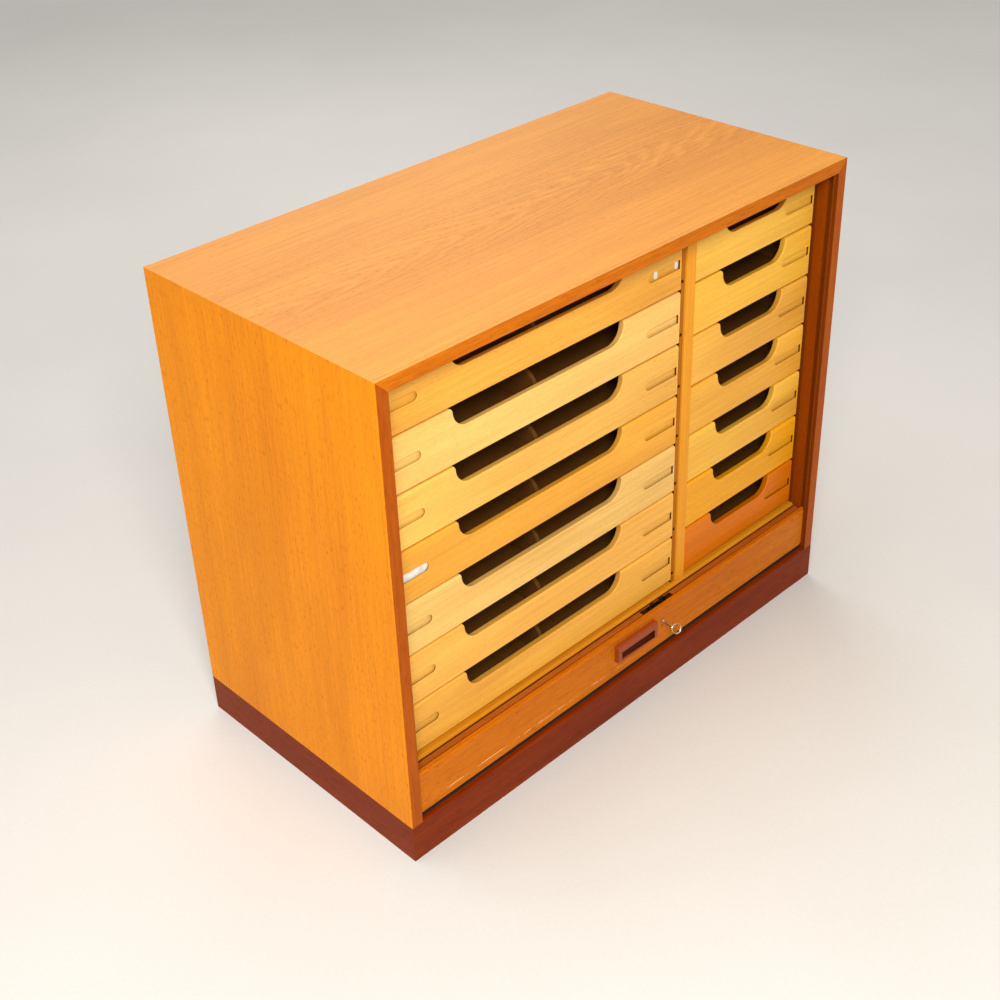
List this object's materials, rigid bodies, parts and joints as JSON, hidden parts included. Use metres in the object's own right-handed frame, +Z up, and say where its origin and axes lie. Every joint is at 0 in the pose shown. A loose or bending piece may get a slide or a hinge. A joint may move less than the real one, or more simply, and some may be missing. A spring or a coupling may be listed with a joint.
{
  "type": "flat file cabinet",
  "caption": "Low oak document cabinet with a roll-down slatted front, a flush dark plinth, and wide and narrow shallow drawers with finger cut-outs.",
  "frame": {"origin": "on the floor, in the middle of the front plinth board's underside", "axes": "+X to the right seen from the front, +Y towards the back, +Z up; the front faces -Y"},
  "size_m": [0.858, 0.4649, 0.71],
  "materials": {
    "oak_veneer": "satin oiled oak veneer",
    "oak_lipping": "satin oak lipping",
    "oak_slats": "satin oak",
    "dark_hardwood": "satin brown hardwood",
    "track_hardwood": "brown hardwood",
    "pull_hardwood": "polished red-brown hardwood",
    "beech_case": "satin light wood",
    "drawer_blond": "satin blond wood",
    "drawer_tan": "satin tan wood",
    "drawer_box_wood": "plain light wood",
    "plain_ply": "plain plywood",
    "back_ply": "stained plywood",
    "canvas": "dark canvas",
    "dark_steel": "browned steel",
    "nickel": "nickel-plated steel",
    "brass": "brass",
    "paper": "white paper card"
  },
  "bodies": {
    "case": {"top_panel": "oak_veneer", "left_side_panel": "oak_veneer", "right_side_panel": "oak_veneer", "front_lippings": "oak_lipping", "plinth_boards": "dark_hardwood", "bottom_board": "plain_ply", "back_panel": "back_ply", "back_screws": "brass", "track_strips": "track_hardwood", "strike_plate": "dark_steel", "strike_screws": "dark_steel", "tambour_slats": "oak_slats", "tambour_canvas": "canvas", "left_runner_panels": "beech_case", "right_runner_panels": "beech_case", "centre_stile": "beech_case", "lower_rail": "beech_case", "case_floor": "beech_case", "case_back": "plain_ply"},
    "rolling_front": {"lead_lath": "oak_slats", "lath_back_strip": "oak_lipping", "pull_handle": "pull_hardwood", "lock_case": "dark_steel", "lock_forend": "dark_steel", "hook_pins": "dark_steel"},
    "left_hook": {"left_hook": "dark_steel"},
    "right_hook": {"right_hook": "dark_steel"},
    "key": {"key": "nickel"},
    "left_drawer_1": {"left_drawer_1_front": "drawer_tan", "left_drawer_1_box": "drawer_box_wood", "left_drawer_1_card": "paper"},
    "left_drawer_2": {"left_drawer_2_front": "drawer_blond", "left_drawer_2_box": "drawer_box_wood"},
    "left_drawer_3": {"left_drawer_3_front": "drawer_blond", "left_drawer_3_box": "drawer_box_wood"},
    "left_drawer_4": {"left_drawer_4_front": "drawer_tan", "left_drawer_4_box": "drawer_box_wood", "left_drawer_4_card": "paper"},
    "left_drawer_5": {"left_drawer_5_front": "drawer_blond", "left_drawer_5_box": "drawer_box_wood"},
    "left_drawer_6": {"left_drawer_6_front": "drawer_blond", "left_drawer_6_box": "drawer_box_wood"},
    "left_drawer_7": {"left_drawer_7_front": "drawer_blond", "left_drawer_7_box": "drawer_box_wood"},
    "right_drawer_1": {"right_drawer_1_front": "drawer_blond", "right_drawer_1_box": "drawer_box_wood"},
    "right_drawer_2": {"right_drawer_2_front": "drawer_blond", "right_drawer_2_box": "drawer_box_wood"},
    "right_drawer_3": {"right_drawer_3_front": "drawer_blond", "right_drawer_3_box": "drawer_box_wood"},
    "right_drawer_4": {"right_drawer_4_front": "drawer_blond", "right_drawer_4_box": "drawer_box_wood"},
    "right_drawer_5": {"right_drawer_5_front": "drawer_blond", "right_drawer_5_box": "drawer_box_wood"},
    "right_drawer_6": {"right_drawer_6_front": "drawer_blond", "right_drawer_6_box": "drawer_box_wood"},
    "right_drawer_7": {"right_drawer_7_front": "drawer_tan", "right_drawer_7_box": "drawer_box_wood"}
  },
  "joints": [
    {"name": "rolling_front_slide", "type": "slide", "parent": "case", "child": "rolling_front", "axis": [0, 0, -1], "range_m": [-0.5599, 0]},
    {"name": "key_turn", "type": "hinge", "parent": "rolling_front", "child": "key", "pos_m": [0.068, 0.0143, 0.1065], "axis": [0, 1, 0], "range_deg": [-43, 0]},
    {"name": "left_hook_turn", "type": "hinge", "parent": "rolling_front", "child": "left_hook", "pos_m": [0.056, 0.0143, 0.1282], "axis": [0, 1, 0], "range_deg": [0, 100]},
    {"name": "right_hook_turn", "type": "hinge", "parent": "rolling_front", "child": "right_hook", "pos_m": [0.08, 0.0143, 0.1282], "axis": [0, -1, 0], "range_deg": [0, 100]},
    {"name": "left_drawer_1_slide", "type": "slide", "parent": "case", "child": "left_drawer_1", "axis": [0, -1, 0], "range_m": [0, 0.28]},
    {"name": "left_drawer_2_slide", "type": "slide", "parent": "case", "child": "left_drawer_2", "axis": [0, -1, 0], "range_m": [0, 0.28]},
    {"name": "left_drawer_3_slide", "type": "slide", "parent": "case", "child": "left_drawer_3", "axis": [0, -1, 0], "range_m": [0, 0.28]},
    {"name": "left_drawer_4_slide", "type": "slide", "parent": "case", "child": "left_drawer_4", "axis": [0, -1, 0], "range_m": [0, 0.28]},
    {"name": "left_drawer_5_slide", "type": "slide", "parent": "case", "child": "left_drawer_5", "axis": [0, -1, 0], "range_m": [0, 0.28]},
    {"name": "left_drawer_6_slide", "type": "slide", "parent": "case", "child": "left_drawer_6", "axis": [0, -1, 0], "range_m": [0, 0.28]},
    {"name": "left_drawer_7_slide", "type": "slide", "parent": "case", "child": "left_drawer_7", "axis": [0, -1, 0], "range_m": [0, 0.28]},
    {"name": "right_drawer_1_slide", "type": "slide", "parent": "case", "child": "right_drawer_1", "axis": [0, -1, 0], "range_m": [0, 0.28]},
    {"name": "right_drawer_2_slide", "type": "slide", "parent": "case", "child": "right_drawer_2", "axis": [0, -1, 0], "range_m": [0, 0.28]},
    {"name": "right_drawer_3_slide", "type": "slide", "parent": "case", "child": "right_drawer_3", "axis": [0, -1, 0], "range_m": [0, 0.28]},
    {"name": "right_drawer_4_slide", "type": "slide", "parent": "case", "child": "right_drawer_4", "axis": [0, -1, 0], "range_m": [0, 0.28]},
    {"name": "right_drawer_5_slide", "type": "slide", "parent": "case", "child": "right_drawer_5", "axis": [0, -1, 0], "range_m": [0, 0.28]},
    {"name": "right_drawer_6_slide", "type": "slide", "parent": "case", "child": "right_drawer_6", "axis": [0, -1, 0], "range_m": [0, 0.28]},
    {"name": "right_drawer_7_slide", "type": "slide", "parent": "case", "child": "right_drawer_7", "axis": [0, -1, 0], "range_m": [0, 0.28]}
  ],
  "couplings": [
    {"joint": "left_hook_turn", "follows": "key_turn", "ratio": -2.325},
    {"joint": "right_hook_turn", "follows": "key_turn", "ratio": -2.325}
  ]
}
